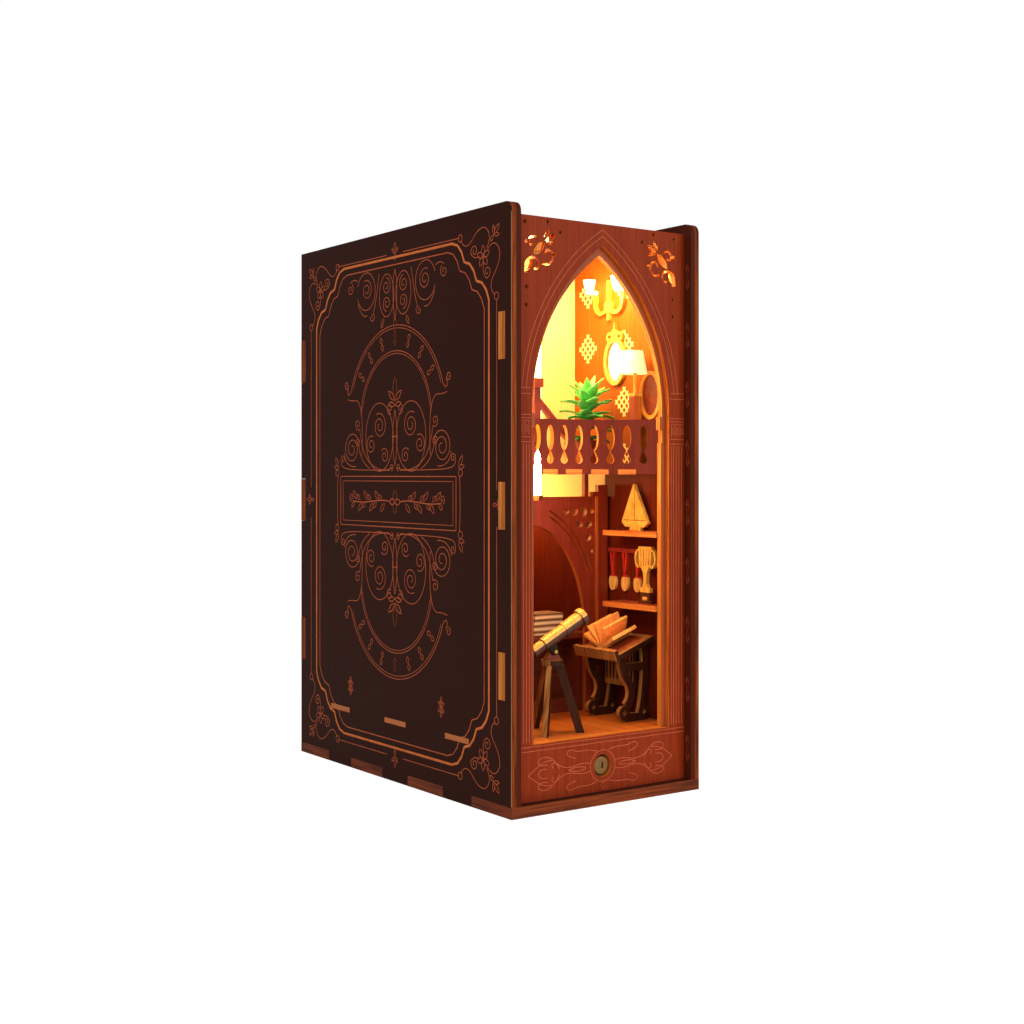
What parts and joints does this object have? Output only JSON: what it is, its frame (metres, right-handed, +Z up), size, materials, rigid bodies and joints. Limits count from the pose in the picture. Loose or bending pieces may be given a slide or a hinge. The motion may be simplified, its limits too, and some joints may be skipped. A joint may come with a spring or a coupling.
{
  "type": "book nook",
  "caption": "Book-shaped wooden case with a lit two-storey miniature room behind a pointed arch, push-button light, tilting telescope and rear battery drawer.",
  "frame": {"origin": "centre of the underside, on the surface it stands on", "axes": "+Z up, the open front faces -Y, +X to the right seen from the front"},
  "size_m": [0.0996, 0.1792, 0.245],
  "materials": {
    "dark_cover_ply": "laser-cut plywood, dark brown print, satin",
    "inner_ply": "laser-cut plywood, red-brown stain",
    "frame_ply": "laser-cut plywood, mahogany red print, satin",
    "raw_ply": "bare plywood",
    "warm_ply": "light orange-brown stained plywood",
    "gilt_ply": "printed plywood, gold tone",
    "dark_ply": "near-black stained plywood",
    "paper": "card and paper",
    "red_card": "printed card, red",
    "shade_paper": "translucent warm white",
    "leaf_plastic": "moulded green",
    "steel": "brushed",
    "brass": "polished",
    "black_plastic": "moulded",
    "circuit": "circuit board",
    "lamp_light": "frosted, lit from inside",
    "mirror": "mirror",
    "cell_wrap": "plain wrapped cell"
  },
  "bodies": {
    "case": {"back_inner": "inner_ply", "back_outer": "dark_cover_ply", "balcony_floor": "warm_ply", "balustrade": "inner_ply", "base_lower": "dark_cover_ply", "base_upper": "dark_cover_ply", "book_cover": "warm_ply", "book_leaves": "paper", "book_stack": "paper", "candle_bracket": "dark_ply", "candle_lamp": "lamp_light", "circuit_board": "circuit", "cross_wall": "inner_ply", "desk": "inner_ply", "door_diffuser": "lamp_light", "floor_board": "warm_ply", "front_frame": "frame_ply", "front_frame_backing": "warm_ply", "lamp_pedestal": "inner_ply", "lamp_shade": "shade_paper", "lamp_stand": "gilt_ply", "lectern_back": "dark_ply", "lectern_legs": "dark_ply", "lectern_top": "dark_ply", "left_cover": "dark_cover_ply", "left_liner": "inner_ply", "light_strip": "lamp_light", "medal_rail": "red_card", "medals": "gilt_ply", "mirror_frame": "gilt_ply", "mirror_glass": "mirror", "newel_and_handrail": "warm_ply", "picture_card": "red_card", "picture_frame": "gilt_ply", "pivot_pin": "brass", "plant_leaves": "leaf_plastic", "plant_pot": "raw_ply", "right_cover": "dark_cover_ply", "right_liner": "inner_ply", "roof_board": "inner_ply", "sailboat": "gilt_ply", "shelves": "inner_ply", "switch_body": "black_plastic", "switch_spring": "steel", "telescope_bracket": "warm_ply", "tray_runners": "raw_ply", "tripod_legs": "dark_ply", "tripod_plate": "dark_ply", "trophy": "gilt_ply", "upper_back_wall": "warm_ply", "vase": "shade_paper", "wall_lamp": "gilt_ply", "wall_lamp_cups": "lamp_light", "wall_post": "inner_ply"},
    "button": {"button_cap": "steel"},
    "telescope": {"telescope_tube": "gilt_ply", "telescope_saddle": "dark_ply"},
    "battery_drawer": {"battery_tray": "black_plastic", "battery_contacts": "steel", "cells": "cell_wrap"}
  },
  "joints": [
    {"name": "button_press", "type": "slide", "parent": "case", "child": "button", "axis": [0, 1, 0], "range_m": [0, 0.0012], "stiffness_N_per_m": 300},
    {"name": "telescope_tilt", "type": "hinge", "parent": "case", "child": "telescope", "pos_m": [-0.013, -0.067, 0.062], "axis": [0, -1, 0], "range_deg": [-20, 15]},
    {"name": "battery_drawer_slide", "type": "slide", "parent": "case", "child": "battery_drawer", "axis": [0, 1, 0], "range_m": [0, 0.045]}
  ]
}
